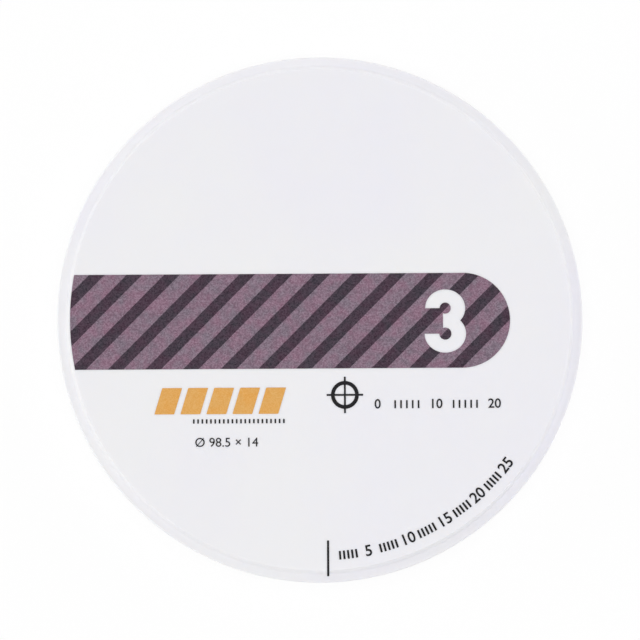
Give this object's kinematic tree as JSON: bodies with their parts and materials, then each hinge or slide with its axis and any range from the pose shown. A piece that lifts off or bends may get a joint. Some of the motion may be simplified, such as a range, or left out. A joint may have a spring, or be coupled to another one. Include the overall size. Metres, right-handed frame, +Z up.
{
  "type": "dental milling disc",
  "caption": "Round blank of chalky white zirconia with a stepped clamping rim and a printed band of slanted stripes on its upper face.",
  "frame": {"origin": "centre of the bottom face, on the disc's axis", "axes": "+X along the printed band towards its round end, +Y across the band on the printed face, +Z up out of the printed face"},
  "size_m": [0.0984, 0.0984, 0.0141],
  "materials": {
    "zirconia": "chalky, turned",
    "mauve_ink": "matte print on a porous face",
    "dark_ink": "matte print on a porous face",
    "black_ink": "matte print on a porous face",
    "orange_ink": "matte print on a porous face"
  },
  "bodies": {
    "root": {"zirconia_blank": "zirconia", "band_mauve_ink": "mauve_ink", "band_dark_ink": "dark_ink", "index_mark_ink": "black_ink"}
  },
  "joints": []
}
